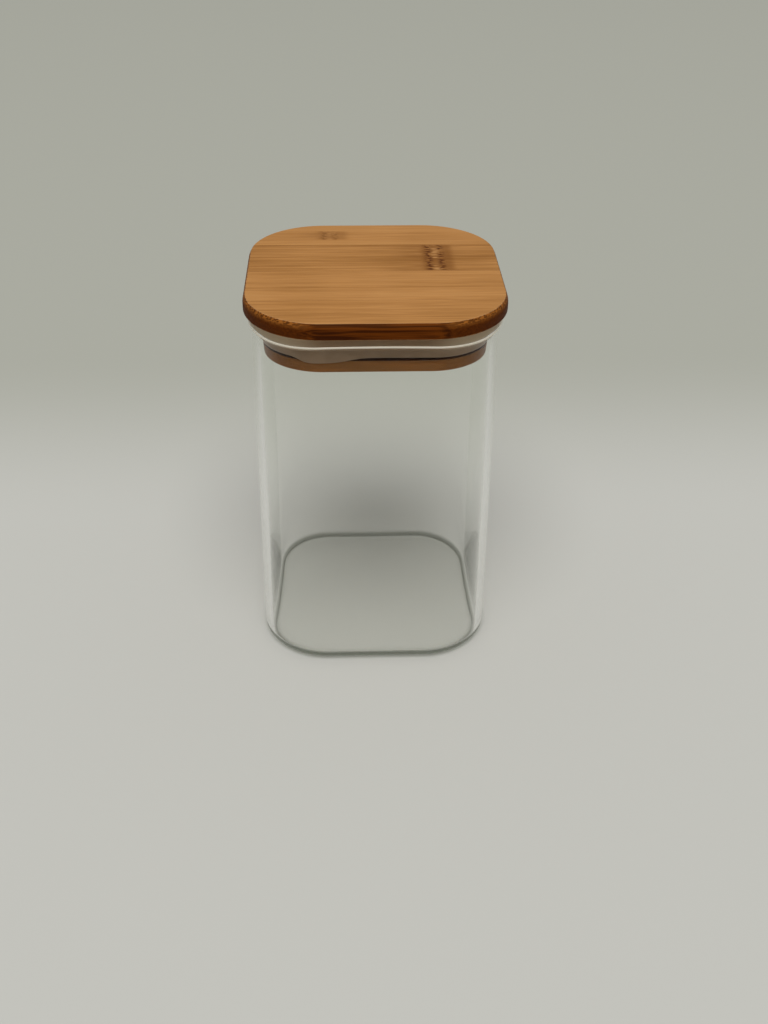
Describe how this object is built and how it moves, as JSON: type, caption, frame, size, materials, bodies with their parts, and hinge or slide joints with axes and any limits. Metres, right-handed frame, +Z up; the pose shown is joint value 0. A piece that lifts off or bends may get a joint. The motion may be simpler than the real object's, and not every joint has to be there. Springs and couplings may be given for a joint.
{
  "type": "glass storage jar",
  "caption": "Square glass storage jar with rounded corners, a flat bamboo lid whose plug goes into the mouth, and a soft translucent silicone gasket round the plug.",
  "frame": {"origin": "middle of the jar's flat base, on the surface it stands on", "axes": "+Z up through the lid, +X to the right along the bamboo's grain, +Y to the back, square to the jar's flat sides"},
  "size_m": [0.1028, 0.1028, 0.1612],
  "materials": {
    "clear_glass": "clear polished borosilicate glass",
    "bamboo": "carbonised bamboo, sanded and oiled, satin",
    "silicone": "milky translucent silicone, satin"
  },
  "bodies": {
    "jar": {"glass_jar": "clear_glass"},
    "lid": {"board_strip_1": "bamboo", "board_strip_2": "bamboo", "board_strip_3": "bamboo", "board_strip_4": "bamboo", "plug_upper_strip_1": "bamboo", "plug_upper_strip_2": "bamboo", "plug_upper_strip_3": "bamboo", "plug_upper_strip_4": "bamboo", "plug_lower_strip_1": "bamboo", "plug_lower_strip_2": "bamboo", "plug_lower_strip_3": "bamboo", "plug_lower_strip_4": "bamboo", "silicone_gasket": "silicone"}
  },
  "joints": [
    {"name": "lid_lift", "type": "slide", "parent": "jar", "child": "lid", "axis": [0, 0, 1], "range_m": [0, 0.1]}
  ]
}
